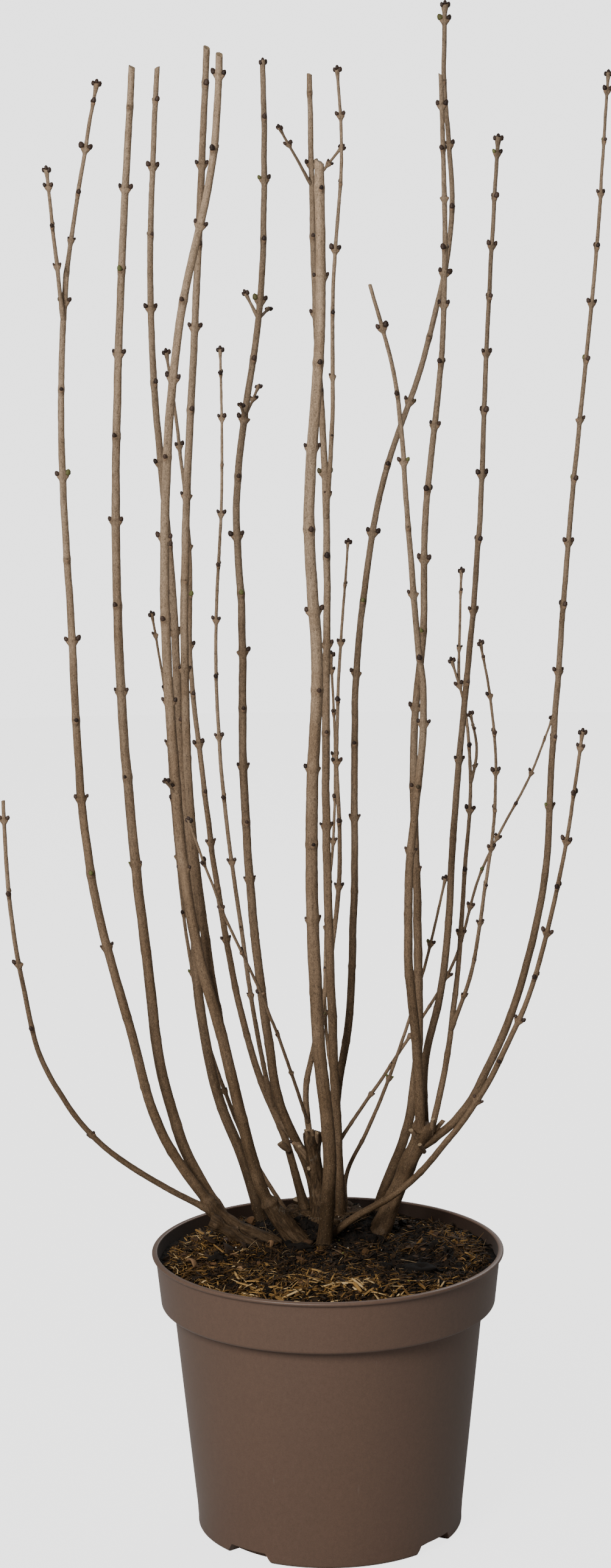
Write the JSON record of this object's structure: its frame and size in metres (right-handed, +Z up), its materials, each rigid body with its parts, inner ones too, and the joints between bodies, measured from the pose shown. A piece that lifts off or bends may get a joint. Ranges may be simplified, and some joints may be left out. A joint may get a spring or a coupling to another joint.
{
  "type": "bare lilac bush in a pot",
  "caption": "Leafless many-stemmed lilac bush with paired winter buds, standing in a round moulded plant pot full of compost",
  "frame": {"origin": "centre of the pot's flat underside, at floor level", "axes": "+Z up; -Y is the front, the side the picture was taken from; +X is the right seen from the front"},
  "size_m": [0.4671, 0.3375, 1.2035],
  "materials": {
    "bark": "matt grey-brown bark with dark buds",
    "old_bark": "rough brown old bark",
    "pot": "satin taupe-brown moulded plastic with a fine grain",
    "compost": "damp dark bark compost with straw chips"
  },
  "bodies": {
    "root": {"centre_back_branch": "bark", "centre_back_shoot": "bark", "centre_back_stem": "bark", "centre_back_twig": "bark", "centre_front_stem": "bark", "centre_left_stem": "bark", "centre_left_twig_1": "bark", "centre_left_twig_2": "bark", "centre_left_twig_3": "bark", "centre_left_twig_4": "bark", "centre_top_twig_1": "bark", "centre_top_twig_2": "bark", "compost": "compost", "crossing_shoot": "bark", "far_left_fork_left": "bark", "far_left_fork_right": "bark", "far_left_stem_lower": "bark", "far_left_stem_upper": "bark", "far_right_bough_lower": "bark", "far_right_bough_upper": "bark", "inner_left_shoot": "bark", "inner_left_stem": "bark", "left_back_shoot": "bark", "left_back_stem": "bark", "left_front_branch": "bark", "left_front_leader": "bark", "left_front_twig": "bark", "left_tall_stem": "bark", "long_diagonal_shoot": "bark", "low_left_bough_lower": "bark", "low_left_bough_upper": "bark", "low_right_stem_lower": "bark", "low_right_stem_upper": "bark", "pot": "pot", "pruned_stump": "old_bark", "right_back_stem": "bark", "right_forked_branch": "bark", "right_forked_side": "bark", "right_forked_spur": "bark", "right_forked_tip": "bark", "right_leader": "bark", "right_long_branch": "bark", "right_trunk": "old_bark", "root_crown": "old_bark", "short_diagonal_shoot": "bark", "tallest_stem": "bark"}
  },
  "joints": []
}
